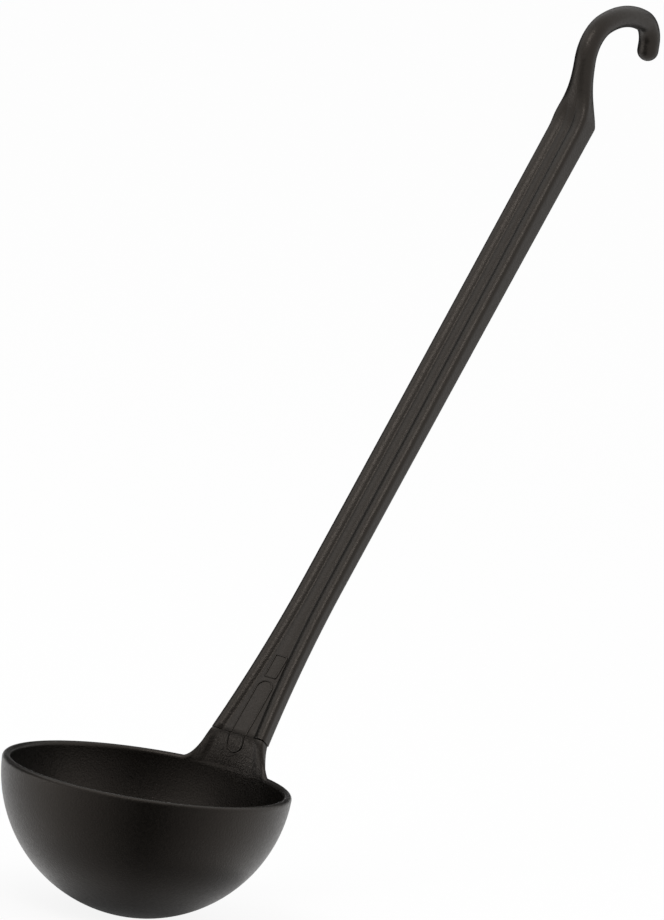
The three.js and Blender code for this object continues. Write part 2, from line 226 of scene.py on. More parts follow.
def grip_relief(run):
    """Share of the full relief of ribs and panel: most in the middle of the grip."""
    foot = lerp(RELIEF_FOOT, 1.0, smoothstep(run, 0, FLARE_RUN))
    return foot * lerp(1.0, RELIEF_TOP, smoothstep(run, GRIP_RUN / 2, GRIP_RUN))


BEND = FOOT + GRIP_RUN * along(GRIP_LEAN)  # where the grip's middle line turns upright


def hook_arcs():
    """First bend, flatter crown and last bend as (centre, radius, start heading, end heading)."""
    point = BEND + np.array([0.0, STEM_RISE])
    heading = 0.0
    arcs = []
    for radius, end in HOOK_BENDS:
        centre = point + radius * backward(heading)
        arcs.append((centre, radius, heading, end))
        point = arc_point(centre, radius, end)
        heading = end
    return arcs


def arc_point(centre, radius, heading):
    return centre - radius * backward(heading)


def hook_seat():
    """Place under the top of the hook's crown, where a rail carries the ladle."""
    centre, radius, _, _ = hook_arcs()[1]
    return arc_point(centre, radius, math.pi / 2) - np.array([0.0, ROD_RADIUS])


SEAT = hook_seat()
BOWL_CENTRE = Vector((0, -SEAT[0], -SEAT[1]))


def to_frame(points):
    """Millimetres from the bowl's centre to metres in the part's frame."""
    points = np.asarray(points, float).reshape(-1, 3)
    return (points - np.array([0.0, SEAT[0], SEAT[1]])) * MM


def add_piece(name, points, faces, material):
    """Mesh object in the part's frame that rides on the one body."""
    mesh = bpy.data.meshes.new(name)
    mesh.from_pydata([tuple(p) for p in to_frame(points)], [], faces)
    work = bmesh.new()
    work.from_mesh(mesh)
    bmesh.ops.recalc_face_normals(work, faces=work.faces)
    work.to_mesh(mesh)
    work.free()
    mesh.shade_smooth()
    mesh.set_sharp_from_angle(angle=SHARP_ANGLE)
    mesh.materials.append(material)
    piece = bpy.data.objects.new(name, mesh)
    bpy.context.scene.collection.objects.link(piece)
    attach(piece, "root")
    return piece


# Handle


def front_depth(across, crest):
    """Depth of the front behind the rib's crest: rib and crowned panel, joined by a small fillet."""
    flare = np.clip(2 * (crest + RIB_OUTSIDE) - GRIP_WIDTH_FOOT, 0, FLARE_WIDTH) / FLARE_WIDTH
    inside = lerp(RIB_INSIDE, RIB_INSIDE_FOOT, flare)
    radius = arc_radius(inside, GROOVE_DEPTH)
    rib = arc_sag(radius, min(crest - across, RIB_REACH * radius))
    panel = PANEL_DROP + PANEL_CROWN * (across / (crest - inside)) ** 2
    overlap = max(0.0, 1 - abs(rib - panel) / GROOVE_FILLET)
    return min(rib, panel) - overlap ** 2 * GROOVE_FILLET / 4


def back_edge_point(half, corner, share):
    turn = share * math.pi / 2
    return (half - BACK_EDGE_RADIUS * (1 - math.cos(turn)), corner + BACK_EDGE_RADIUS * math.sin(turn))


def bar_half(width, depth, relief):
    """Half of the bar's section as (across, back from the front) with the rod's angle for each point.

    The relief goes from 1 for full grooves and a sunk panel to 0 for a plain front.
    """
    half = width / 2
    crest = half - RIB_OUTSIDE
    rib_radius = arc_radius(RIB_OUTSIDE, RIB_SAG)
    corner = depth - BACK_EDGE_RADIUS
    stretches = (
        (FRONT_STEPS, lambda t: (t * crest, relief * front_depth(t * crest, crest))),
        (RIB_STEPS, lambda t: (crest + t * RIB_OUTSIDE, arc_sag(rib_radius, t * RIB_OUTSIDE))),
        (SIDE_STEPS, lambda t: (half, lerp(RIB_SAG, corner, t))),
        (BACK_EDGE_STEPS, lambda t: back_edge_point(half, corner, t)),
        (BACK_STEPS, lambda t: ((1 - t) * (half - BACK_EDGE_RADIUS), depth)),
    )
    points = [(0.0, relief * PANEL_DROP)]
    angles = [0.0]
    for (count, place), first, last in zip(stretches, ROD_MARKS, ROD_MARKS[1:]):
        for i in range(1, count + 1):
            points.append(place(i / count))
            angles.append(ROD_STEP * lerp(first, last, i / count))
    return np.array(points), np.array(angles)


def soften(outline):
    """Rounds the small edges of a closed outline by averaging neighbours."""
    for _ in range(SOFTENING):
        outline = (np.roll(outline, 1, 0) + 2 * outline + np.roll(outline, -1, 0)) / 4
    return outline


def handle_section(width, depth, front_rounding, back_rounding, relief=1.0):
    """Closed section, centred on its depth, from the ribbed bar (0) to the round rod (1)."""
    half, angles = bar_half(width, depth, relief)
    rounding = lerp(front_rounding, back_rounding, half[:, 1] / depth)[:, None]
    rod = ROD_RADIUS * np.stack([np.sin(angles), -np.cos(angles)], 1)
    right = lerp(half - np.array([0.0, depth / 2]), rod, rounding)
    left = (right * np.array([-1.0, 1.0]))[-2:0:-1]
    return soften(np.concatenate([right, left]))


def place_section(section, middle, direction):
    side = middle + section[:, 1:] * direction
    return np.column_stack([section[:, 0], side])


def station(front, back, width, roundings=(0, 0), relief=1.0, shrink=0.0):
    """Section of the handle between a front and a back point of the side view."""
    depth = float(np.linalg.norm(back - front))
    section = handle_section(width, depth, *roundings, relief)
    section = section * np.array([1 - 2 * shrink / width, 1 - 2 * shrink / depth])
    return place_section(section, (front + back) / 2, (back - front) / depth)


def grip_point(run, side):
    """Side-view point on the grip's front (-1) or back (1)."""
    return FOOT + run * along(GRIP_LEAN) + side * grip_depth(run) / 2 * backward(GRIP_LEAN)


def grip_ring(run, shrink=0.0):
    ends = (grip_point(run, -1), grip_point(run, 1))
    return station(*ends, grip_width(run), relief=grip_relief(run), shrink=shrink)


def grip_rings():
    """Sections from the seam, with its broken edge, up the straight part of the grip."""
    flare = np.linspace(SEAM_GAP + EDGE_BREAK, FLARE_RUN, FLARE_STATIONS)
    straight = np.linspace(FLARE_RUN, STRAIGHT_END, GRIP_STATIONS + 1)[1:]
    foot = grip_ring(SEAM_GAP, shrink=EDGE_BREAK)
    return [foot] + [grip_ring(run) for run in np.concatenate([flare, straight])]


def shoulder_rails():
    """Front and back rail over the shoulder as (corner, direction into it, length of its blend)."""
    rails = []
    for side, blend in ((-1, SHOULDER_FRONT_BLEND), (1, SHOULDER_BACK_BLEND)):
        last = grip_point(STRAIGHT_END, side)
        into = grip_point(GRIP_RUN, side) - last
        into = into / np.linalg.norm(into)
        corner = last + into * (BEND[0] + side * ROD_RADIUS - last[0]) / into[0]
        rails.append((corner, into, blend))
    return rails


def rail_point(corner, into, blend, distance):
    """Side-view point on a rail: straight along the bar, a curve of that tangent length, straight up."""
    up = np.array([0.0, 1.0])
    if abs(distance) >= blend:
        return corner + distance * (into if distance < 0 else up)
    ends = (corner - blend * into, corner, corner + blend * up)
    return bezier(ends, (distance + blend) / (2 * blend))


def shoulder_rings():
    """Sections over the shoulder, by run from its corner, from the ribbed bar to the round stem."""
    below = -np.linspace(SHOULDER_FRONT_BLEND, SHOULDER_BACK_BLEND, BELOW_STATIONS)
    through = np.linspace(-SHOULDER_BACK_BLEND, SHOULDER_BACK_BLEND, CORNER_STATIONS + 1)[1:]
    above = np.linspace(SHOULDER_BACK_BLEND, STEM_RISE, STEM_STATIONS + 2)[1:-1]
    stem_top = BEND[1] + STEM_RISE
    rails = shoulder_rails()
    rings = []
    for run in np.concatenate([below, through, above]):
        risen = max(0.0, run / STEM_RISE)
        ends = []
        for corner, into, blend in rails:
            distance = run if run < 0 else risen * (stem_top - corner[1])
            ends.append(rail_point(corner, into, blend, distance))
        front_rounding = smoothstep(run, FRONT_TAPER_START, STEM_RISE)
        back_rounding = 1 - (1 - risen ** BACK_TAPER_LEAD) ** BACK_TAPER_POWER
        grip_run = GRIP_RUN + min(0.0, run)
        relief = grip_relief(grip_run) * (1 - smoothstep(run, *RELIEF_RUN_OUT))
        rings.append(station(*ends, grip_width(grip_run), (front_rounding, back_rounding), relief))
    return rings


def hook_rings():
    """Round sections along the hook and over its rounded tip, with the point that closes the tip."""
    rod = handle_section(GRIP_WIDTH_TOP, 2 * ROD_RADIUS, 1, 1)
    arcs = hook_arcs()
    rings = []
    for centre, radius, first, last in arcs:
        count = math.ceil((last - first) / HOOK_STEP)
        for i in range(1 if rings else 0, count + 1):
            heading = lerp(first, last, i / count)
            rings.append(place_section(rod, arc_point(centre, radius, heading), backward(heading)))
    centre, radius, _, down = arcs[-1]
    tip = arc_point(centre, radius, down) + TIP_STRAIGHT * along(down)
    for turn in np.linspace(0, math.pi / 2, TIP_STEPS + 1)[:-1]:
        middle = tip + ROD_RADIUS * math.sin(turn) * along(down)
        rings.append(place_section(rod * math.cos(turn), middle, backward(down)))
    end = tip + ROD_RADIUS * along(down)
    return rings, (0.0, *end)


def make_handle(material):
    hook, pole = hook_rings()
    rings = grip_rings() + shoulder_rings() + hook
    size = len(rings[0])
    points = np.concatenate(rings + [np.array([pole])])
    faces = [tuple(range(size))[::-1]]
    for r in range(len(rings) - 1):
        for i in range(size):
            a = r * size + i
            b = r * size + (i + 1) % size
            faces.append((a, b, b + size, a + size))
    last = (len(rings) - 1) * size
    for i in range(size):
        faces.append((last + i, last + (i + 1) % size, len(points) - 1))
    piece = add_piece("handle_grip_and_hook", points, faces, material)
    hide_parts("handle")


# Bowl and neck: one front sheet of the wall, drawn by distance s round the bowl and u up from its bottom,
# with the wall's thickness laid on it

INNER_RADIUS = BOWL_RADIUS - BOWL_WALL
RIM_HALF = BOWL_WALL / 2
RIM_EDGE = -RIM_DROP - RIM_HALF
SEAM_DEPTH = GRIP_DEPTH_FOOT - 2 * SEAM_STEP
SEAM_HALF = GRIP_WIDTH_FOOT / 2 + FLARE_WIDTH / 2 - SEAM_STEP


def front_curve():
    """Middle line of the front sheet from the bowl's bottom over the rim to the seam.

    Gives lengths along the line, its points and headings, and the length at the rim's edge.
    """
    turns = np.linspace(-math.pi / 2, math.asin(RIM_EDGE / INNER_RADIUS), WALL_POINTS)
    wall = INNER_RADIUS * np.stack([np.cos(turns), np.sin(turns)], 1)
    seam = FOOT - SEAM_DEPTH / 2 * backward(GRIP_LEAN)
    reach = np.linalg.norm(seam - wall[-1])
    after = wall[-1] + ROOT_REACH * reach * along(-turns[-1])
    before = seam - SEAM_REACH * reach * along(GRIP_LEAN)
    shares = np.linspace(0, 1, NECK_POINTS)[1:]
    neck = [bezier((wall[-1], after, before, seam), share) for share in shares]
    line = np.concatenate([wall, np.array(neck)])
    steps = np.gradient(line, axis=0)
    headings = np.arctan2(steps[:, 0], steps[:, 1])
    lengths = np.concatenate([[0.0], np.cumsum(np.linalg.norm(np.diff(line, axis=0), axis=1))])
    return lengths, line, headings, lengths[len(wall) - 1]


CURVE_LENGTH, CURVE_POINTS, CURVE_HEADING, U_EDGE = front_curve()
U_TOP = U_EDGE + RIM_HALF
U_SEAM = CURVE_LENGTH[-1]
U_BACK = INNER_RADIUS * (math.pi / 2 - math.asin(ROOT_DEPTH_OUT / INNER_RADIUS))
EDGE_RADIUS = INNER_RADIUS * math.cos(math.asin(RIM_EDGE / INNER_RADIUS))


def like_wall(u):
    """1 where the sheet is round like the bowl's wall, 0 where it is flat at the seam."""
    return 1 - np.clip((u - U_TOP) / (U_SEAM - U_TOP), 0, 1)


def neck_half(u):
    """Half width of the neck's outline at that height; below the rim it keeps its width at the rim."""
    fall = like_wall(u)
    return SEAM_HALF + NECK_SPREAD * fall + ROOT_FILLET * (1 - np.sqrt(1 - fall ** 2))


def wall_depth(s, u):
    """Thickness of the wall: even in the bowl, thicker up the neck and in its middle."""
    rise = np.clip((u - U_BACK) / (U_SEAM - U_BACK), 0, 1) ** NECK_DEPTH_POWER
    middle = lerp(BOWL_WALL, SEAM_DEPTH, rise)
    side = lerp(middle, BOWL_WALL, like_wall(u))
    return lerp(middle, side, np.clip(np.abs(s) / neck_half(u), 0, 1) ** 2)


def face_hollow():
    """Depth behind the front sheet of a straight face from the rim's edge to the seam, by length."""
    edge = CURVE_POINTS[np.searchsorted(CURVE_LENGTH, U_EDGE)]
    rise = CURVE_POINTS[-1] - edge
    across = np.array([rise[1], -rise[0]])
    normals = np.stack([np.cos(CURVE_HEADING), -np.sin(CURVE_HEADING)], 1)
    depth = (edge - CURVE_POINTS) @ across / (normals @ across)
    return np.where(CURVE_LENGTH > U_EDGE, depth, 0.0)


CURVE_HOLLOW = face_hollow()


def neck_relief(s, u):
    """Depth of the neck's front behind the sheet: lip over the rim, raised sides and straighter face."""
    fall = (U_SEAM - u) / (U_SEAM - U_TOP)
    inward = SEAM_HALF + NECK_SPREAD * fall - np.abs(s)
    lip = LIP_DROP * smoothstep(inward, -LIP_FADE, 0)
    outer = FLANK_SAG * np.clip(1 - inward / FLANK_CREST, 0, 1) ** 2 * (1 - np.clip(fall, 0, 1))
    face = FACE_DROP + FACE_STRAIGHTNESS * np.interp(u, CURVE_LENGTH, CURVE_HOLLOW)
    face = face * smoothstep(inward, FLANK_CREST, FLANK_FOOT)
    return (lip + outer + face) * smoothstep(u, U_EDGE, U_EDGE + LIP_RISE)


def sheet_point(s, u, depth):
    """Point at that depth behind the front sheet."""
    s, u, depth = np.broadcast_arrays(np.asarray(s, float), np.asarray(u, float), np.asarray(depth, float))
    y = np.interp(u, CURVE_LENGTH, CURVE_POINTS[:, 0])
    z = np.interp(u, CURVE_LENGTH, CURVE_POINTS[:, 1])
    heading = np.interp(u, CURVE_LENGTH, CURVE_HEADING)
    like = like_wall(u)
    azimuth = s / EDGE_RADIUS
    radius = np.where(u <= U_EDGE, y, EDGE_RADIUS)
    x = lerp(s, radius * np.sin(azimuth), like)
    y = y - like * radius * (1 - np.cos(azimuth))
    turn = azimuth * like ** 2
    out = np.cos(heading)
    normal = np.stack([out * np.sin(turn), out * np.cos(turn), -np.sin(heading)], -1)
    return np.stack([x, y, z], -1) + depth[..., None] * normal


def bowl_columns():
    """Columns round the bowl in order: left side of the neck, seam, right side, plain rim.

    Each has its end on the front sheet, the direction and length of its rounded edge, and the shift of its
    back edge; a seam column has no rounded edge. The feet are the columns' places under the neck.
    """
    sides = np.linspace(math.pi / 2, 0, NECK_SIDE_COLUMNS + 1)[1:]
    columns = []
    for side, turns in ((-1, sides), (1, sides[::-1])):
        if side == 1:
            inset = SEAM_HALF - NECK_EDGE
            for s in np.linspace(-inset, inset, SEAM_COLUMNS + 2)[1:-1]:
                columns.append((s, U_SEAM, 0.0, 0.0, 0.0, 0.0))
        for turn in turns:
            half = SEAM_HALF + NECK_SPREAD * math.sin(turn) + ROOT_FILLET * (1 - math.cos(turn))
            u = U_SEAM - (U_SEAM - U_TOP) * math.sin(turn)
            length = lerp(NECK_EDGE, RIM_HALF, math.sin(turn))
            out = (side * math.cos(turn), math.sin(turn))
            shift = side * (ROOT_FILLET_BACK - ROOT_FILLET) * (1 - math.cos(turn))
            columns.append((side * half - out[0] * length, u - out[1] * length, *out, length, shift))
    neck_count = len(columns)
    start = SEAM_HALF + NECK_SPREAD + ROOT_FILLET
    for s in np.linspace(start, 2 * math.pi * EDGE_RADIUS - start, RIM_COLUMNS):
        columns.append((s, U_EDGE, 0.0, 1.0, RIM_HALF, 0.0))
    columns = np.array(columns)
    ends = columns[:neck_count, :2]
    track = np.concatenate([[(-start, U_EDGE)], ends, [(start, U_EDGE)]])
    travel = np.cumsum(np.linalg.norm(np.diff(track, axis=0), axis=1))
    feet = columns[:, 0].copy()
    feet[:neck_count] = start * (2 * travel[:-1] / travel[-1] - 1)
    return columns, feet


def edge_band(columns):
    """Rows over the rounded edge from the front sheet to the back one, as (s, u, depth)."""
    s, u, out_s, out_u, length, shift = columns.T
    depth = wall_depth(s, u)
    corner = np.minimum(length, EDGE_SHARE * depth)
    relief = neck_relief(s, u)
    turns = np.linspace(0, math.pi / 2, EDGE_STEPS + 1)[1:]
    rows = []
    for turn in turns:
        rows.append((0.0, length * math.sin(turn), lerp(relief, corner, 1 - math.cos(turn))))
    for share in np.linspace(0, 1, EDGE_SIDE_STEPS + 1)[1:]:
        rows.append((share, length, lerp(corner, depth - corner, share)))
    for turn in turns[:-1]:
        rows.append((1.0, length * math.cos(turn), depth - corner * (1 - math.sin(turn))))
    return [(s + shift * share + out_s * reach, u + out_u * reach, w) for share, reach, w in rows]


def make_bowl(material):
    columns, feet = bowl_columns()
    end_s, end_u, _, _, edge_length, shift = columns.T
    count = len(columns)
    base = U_EDGE - BASE_DROP
    poles = np.array([[0, 0, -INNER_RADIUS], [0, 0, -BOWL_RADIUS]])
    rows = []

    def add_row(row):
        """Adds a row of points round the bowl and gives their numbers, which follow the two poles."""
        rows.append(row)
        return len(poles) + (len(rows) - 1) * count + np.arange(count)

    front = []
    back = []
    for sheet, ends, depth_at in ((front, end_s, neck_relief), (back, end_s + shift, wall_depth)):
        places = [(feet, np.full(count, u)) for u in np.linspace(0, base, LOWER_ROWS + 1)[1:]]
        for share in np.linspace(0, 1, UPPER_ROWS + 1)[1:]:
            places.append((lerp(feet, ends, smoothstep(share, 0, 1)), lerp(base, end_u, share)))
        for s, u in places:
            sheet.append(add_row(sheet_point(s, u, depth_at(s, u))))
    edge = [add_row(sheet_point(s, u, depth)) for s, u, depth in edge_band(columns)]
    band = [front[-1], *edge, back[-1]]

    faces = []
    seam = edge_length == 0
    for pole, sheet in ((0, front), (1, back)):
        for j in range(count):
            k = (j + 1) % count
            faces.append((pole, sheet[0][j], sheet[0][k]))
            for low, high in zip(sheet, sheet[1:]):
                faces.append((low[j], low[k], high[k], high[j]))
    for j in range(count):
        k = (j + 1) % count
        if seam[j] or seam[k]:
            continue
        for low, high in zip(band, band[1:]):
            faces.append((low[j], low[k], high[k], high[j]))
    first = int(np.argmax(seam)) - 1
    last = first + int(seam.sum()) + 1
    cap = list(front[-1][first:last + 1]) + [row[last] for row in edge]
    cap += list(back[-1][first:last + 1][::-1]) + [row[first] for row in edge[::-1]]
    faces.append(tuple(cap))

    points = np.concatenate([poles, *rows])
    used = sorted({i for face in faces for i in face})
    renumber = {old: new for new, old in enumerate(used)}
    faces = [tuple(renumber[int(i)] for i in face) for face in faces]
    piece = add_piece("bowl_and_neck", points[used], faces, material)
    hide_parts("bowl")


# Raised frames


def panel_point(across, run):
    """Point and outward direction on the grip's crowned panel."""
    out = -backward(GRIP_LEAN)
    drop = grip_relief(run) * front_depth(abs(across), grip_width(run) / 2 - RIB_OUTSIDE)
    middle = FOOT + run * along(GRIP_LEAN) + (grip_depth(run) / 2 - drop) * out
    return np.array([across, *middle]), np.array([0.0, *out])


def neck_point(across, run):
    """Point and outward direction on the neck's face, with the distance below the seam as a negative run."""
    u = U_SEAM + run
    depth = neck_relief(across, u)
    surface = sheet_point(across, u, depth)
    return surface, surface - sheet_point(across, u, depth + 1)


def make_bead(name, path, surface, closed, material):
    """Half-round bead along a path of (across, run) points on a surface."""
    path = np.array(path)
    path[:, 0] += FRAME_LEAN * (path[:, 1] - OBLONG_FRAME[1])
    count = len(path)
    profile = []
    for turn in np.linspace(0, math.pi, BEAD_POINTS):
        profile.append((BEAD_WIDTH / 2 * math.cos(turn), BEAD_HEIGHT * math.sin(turn)))
    profile += [(-BEAD_WIDTH / 2, -BEAD_ROOT), (BEAD_WIDTH / 2, -BEAD_ROOT)]
    size = len(profile)
    points = []
    for i in range(count):
        before = path[i - 1] if closed or i else path[i]
        after = path[(i + 1) % count] if closed or i + 1 < count else path[i]
        step = (after - before) / np.linalg.norm(after - before)
        for offset, height in profile:
            place, out = surface(path[i][0] + step[1] * offset, path[i][1] - step[0] * offset)
            points.append(place + height * out)
    faces = []
    for i in range(count if closed else count - 1):
        for k in range(size):
            a = i * size + k
            b = i * size + (k + 1) % size
            c = (i + 1) % count * size
            faces.append((a, b, c + (k + 1) % size, c + k))
    if not closed:
        faces.append(tuple(range(size)))
        faces.append(tuple(range((count - 1) * size, count * size)))
    add_piece(name, points, faces, material)


def oblong_half(start, middle, side, count):
    """Path from the seam along one side of the oblong frame, round its end and back.

    The side is 1 for the upper half and -1 for the lower one.
    """
    half = OBLONG_FRAME[0]
    straight = [(side * half, run) for run in np.linspace(start, middle, count)[:-1]]
    bend = []
    for turn in np.linspace(0, math.pi, FRAME_BEND_POINTS):
        bend.append((side * half * math.cos(turn), middle + side * half * math.sin(turn)))
    return straight + bend + [(-across, run) for across, run in straight[::-1]]


def short_path():
    """Path round the short frame with its rounded corners."""
    half, low, high = SHORT_FRAME
    path = []
    for quarter, (right, top) in enumerate(((1, 1), (-1, 1), (-1, -1), (1, -1))):
        across = right * (half - SHORT_FRAME_CORNER)
        run = (high if top == 1 else low) - top * SHORT_FRAME_CORNER
        for turn in np.linspace(quarter, quarter + 1, FRAME_CORNER_POINTS) * math.pi / 2:
            corner = SHORT_FRAME_CORNER * np.array([math.cos(turn), math.sin(turn)])
            path.append((across + corner[0], run + corner[1]))
    return path


def make_frames(material):
    """An oblong frame that crosses the seam in two halves, and a short square one above it, all bare."""
    half, low, high = OBLONG_FRAME
    upper = oblong_half(SEAM_GAP + EDGE_BREAK, high - half, 1, FRAME_UPPER_POINTS)
    lower = oblong_half(-EDGE_BREAK, low + half, -1, FRAME_LOWER_POINTS)
    make_bead("frame_oblong_upper", upper, panel_point, False, material)
    make_bead("frame_oblong_lower", lower, neck_point, False, material)
    make_bead("frame_short", short_path(), panel_point, True, material)


# Material

MOTTLE_DARK = (0.0006, 0.0005, 0.0004, 1)
MOTTLE_LIGHT = (0.0034, 0.0028, 0.0021, 1)
SPECULAR_LEVEL = 0.4
SPECULAR_TINT = (1.0, 0.88, 0.78, 1)
ROUGHNESS_RANGE = (0.28, 0.40)

# Noises by scale, detail and roughness, and bumps by strength and distance in metres
MOTTLE_NOISE = (700, 5, 0.7)
ROUGHNESS_NOISE = (900, 4, 0.6)
GRAIN_NOISE = (1500, 3, 0.6)
GRAIN_BUMP = (0.5, 0.0002)
RIPPLE_NOISE = (320, 2, 0.5)
RIPPLE_BUMP = (0.1, 0.00012)
NOISE_SPAN = (0.3, 0.7)  # stretch of a noise's values that is spread over a range

# Colour sockets of the mix node, which share their names with its other sockets
MIX_FACTOR = 0
MIX_FIRST = 6
MIX_SECOND = 7
MIX_RESULT = 2


def composite_material():
    """Satin warm-black moulded plastic: faint mottling, uneven gloss and a fine spark-eroded grain."""
    material = bpy.data.materials.new("composite")
    material.use_nodes = True
    nodes = material.node_tree.nodes
    links = material.node_tree.links
    shader = nodes["Principled BSDF"]
    place = nodes.new("ShaderNodeTexCoord").outputs["Object"]

    def noise(scale, detail, roughness):
        node = nodes.new("ShaderNodeTexNoise")
        node.inputs["Scale"].default_value = scale
        node.inputs["Detail"].default_value = detail
        node.inputs["Roughness"].default_value = roughness
        links.new(place, node.inputs["Vector"])
        return node.outputs["Fac"]

    def remap(value, low, high):
        node = nodes.new("ShaderNodeMapRange")
        node.inputs["From Min"].default_value = NOISE_SPAN[0]
        node.inputs["From Max"].default_value = NOISE_SPAN[1]
        node.inputs["To Min"].default_value = low
        node.inputs["To Max"].default_value = high
        links.new(value, node.inputs["Value"])
        return node.outputs["Result"]

    def bump(height, strength, distance):
        node = nodes.new("ShaderNodeBump")
        node.inputs["Strength"].default_value = strength
        node.inputs["Distance"].default_value = distance
        links.new(height, node.inputs["Height"])
        return node

    mottle = nodes.new("ShaderNodeMix")
    mottle.data_type = "RGBA"
    mottle.inputs[MIX_FIRST].default_value = MOTTLE_DARK
    mottle.inputs[MIX_SECOND].default_value = MOTTLE_LIGHT
    links.new(remap(noise(*MOTTLE_NOISE), 0, 1), mottle.inputs[MIX_FACTOR])
    links.new(mottle.outputs[MIX_RESULT], shader.inputs["Base Color"])
    shader.inputs["Specular IOR Level"].default_value = SPECULAR_LEVEL
    shader.inputs["Specular Tint"].default_value = SPECULAR_TINT
    links.new(remap(noise(*ROUGHNESS_NOISE), *ROUGHNESS_RANGE), shader.inputs["Roughness"])

    grain = bump(noise(*GRAIN_NOISE), *GRAIN_BUMP)
    ripple = bump(noise(*RIPPLE_NOISE), *RIPPLE_BUMP)
    links.new(ripple.outputs["Normal"], grain.inputs["Normal"])
    links.new(grain.outputs["Normal"], shader.inputs["Normal"])
    return material


# Stage, light and camera, with places and sizes in metres

FLOOR_SIZE = 40.0
FLOOR_COLOUR = (0.95, 0.95, 0.95, 1)
FLOOR_SHADOW = 0.12  # share of the floor's colour that takes the object's shadow
WORLD_LIGHT = 0.9

# Rows of the cards round the bowl, which paint dark and white reflections on the object and are seen by no
# camera: distance from its axis, height over the floor, glow on the darkest line
CARD_NEAR = ((0.0, 0.001, 0.2), (0.02, 0.001, 0.2), (0.035, 0.001, 0.35), (0.06, 0.001, 0.12))
CARD_FAN = ((0.06, 0.001, 0.12), (0.1, 0.001, 0.02), (0.15, 0.002, 0.0), (0.15, 0.2, 0.0), (0.15, 0.27, 0.1))
CARD_RING = ((0.15, 0.07, 0.1), (0.15, 0.14, 0.2))

# Turns of the cards from the camera's side, to the left below zero and to the right above
CARD_NEAR_TURNS = np.radians(np.linspace(-180, 180, 49))
CARD_FAN_TURNS = np.radians(np.linspace(-70, 80, 31))
CARD_RING_TURNS = np.radians(np.linspace(-140, -70, 15))
CARD_TURN = math.radians(5)  # the cards' darkest line lies this far to the right of the camera
CARD_NEAR_DARK = 0.03  # within this distance a card is dark all round

# A card fades to white this far to the left and right of its darkest line
CARD_NEAR_FADE = (math.radians(95), math.radians(190))
CARD_FAN_FADE = (math.radians(75), math.radians(75))
NO_FADE = (math.inf, math.inf)

# Card behind the handle that paints a dark reflection on the outlines, by distance behind the bowl,
# height over the floor, reach to the left and right, and half height
CARD_BACK_AWAY = 0.45
CARD_BACK_HEIGHT = 0.26
CARD_BACK_SIDES = (-1.1, 0.4)
CARD_BACK_HALF = 0.18
REFLECTION_BACK_GLOW = 0.06

# Lamps by offset from what they light, width, height, and power in watts
SOFTBOX_TOP = ((0.24, -0.96, 1.26), 0.55, 0.55, 4.5)
SOFTBOX_LEFT = ((-0.85, -0.66, 1.04), 0.6, 0.6, 1.0)
STRIP_LEFT = ((-0.82, -0.88, 0.01), 0.8, 0.1, 1.0)


def seen_directly(nodes, links):
    """1 for camera, glossy and transmission rays."""
    path = nodes.new("ShaderNodeLightPath")
    largest = path.outputs["Is Camera Ray"]
    for name in ("Is Glossy Ray", "Is Transmission Ray"):
        node = nodes.new("ShaderNodeMath")
        node.operation = "MAXIMUM"
        links.new(largest, node.inputs[0])
        links.new(path.outputs[name], node.inputs[1])
        largest = node.outputs[0]
    return largest


def add_prop(name, points, faces, material):
    """Mesh object of the stage, still to be staged."""
    mesh = bpy.data.meshes.new(name)
    mesh.from_pydata(points, [], faces)
    mesh.materials.append(material)
    prop = bpy.data.objects.new(name, mesh)
    bpy.context.scene.collection.objects.link(prop)
    return prop


def make_floor():
    """White floor where seen, which keeps a share of the object's shadow."""
    material = bpy.data.materials.new("floor")
    material.use_nodes = True
    nodes = material.node_tree.nodes
    links = material.node_tree.links
    nodes.clear()
    matte = nodes.new("ShaderNodeBsdfDiffuse")
    matte.inputs["Color"].default_value = FLOOR_COLOUR
    glow = nodes.new("ShaderNodeEmission")
    share = nodes.new("ShaderNodeMath")
    share.operation = "MULTIPLY"
    share.inputs[1].default_value = 1 - FLOOR_SHADOW
    links.new(seen_directly(nodes, links), share.inputs[0])
    mix = nodes.new("ShaderNodeMixShader")
    links.new(share.outputs[0], mix.inputs[0])
    links.new(matte.outputs[0], mix.inputs[1])
    links.new(glow.outputs[0], mix.inputs[2])
    output = nodes.new("ShaderNodeOutputMaterial")
    links.new(mix.outputs[0], output.inputs["Surface"])
    half = FLOOR_SIZE / 2
    level = cad_box[0][2]
    corners = [(-half, -half, level), (half, -half, level), (half, half, level), (-half, half, level)]
    plate = add_prop("floor", corners, [(0, 1, 2, 3)], material)


def add_reflection_card(name, points, faces, reflection_glows):
    """Card that only reflections see, which paints dark and white reflections with its glow written on its
    points.
    """
    material = bpy.data.materials.new(name)
    material.use_nodes = True
    nodes = material.node_tree.nodes
    links = material.node_tree.links
    nodes.clear()
    strength = nodes.new("ShaderNodeAttribute")
    strength.attribute_name = "glow"
    glow = nodes.new("ShaderNodeEmission")
    links.new(strength.outputs["Fac"], glow.inputs["Strength"])
    output = nodes.new("ShaderNodeOutputMaterial")
    links.new(glow.outputs[0], output.inputs["Surface"])
    reflection_card = add_prop(name, points, faces, material)
    reflection_card.data.attributes.new("glow", "FLOAT", "POINT").data.foreach_set("value", reflection_glows)
    reflection_card.visible_camera = False
    reflection_card.visible_diffuse = False
    reflection_card.visible_shadow = False


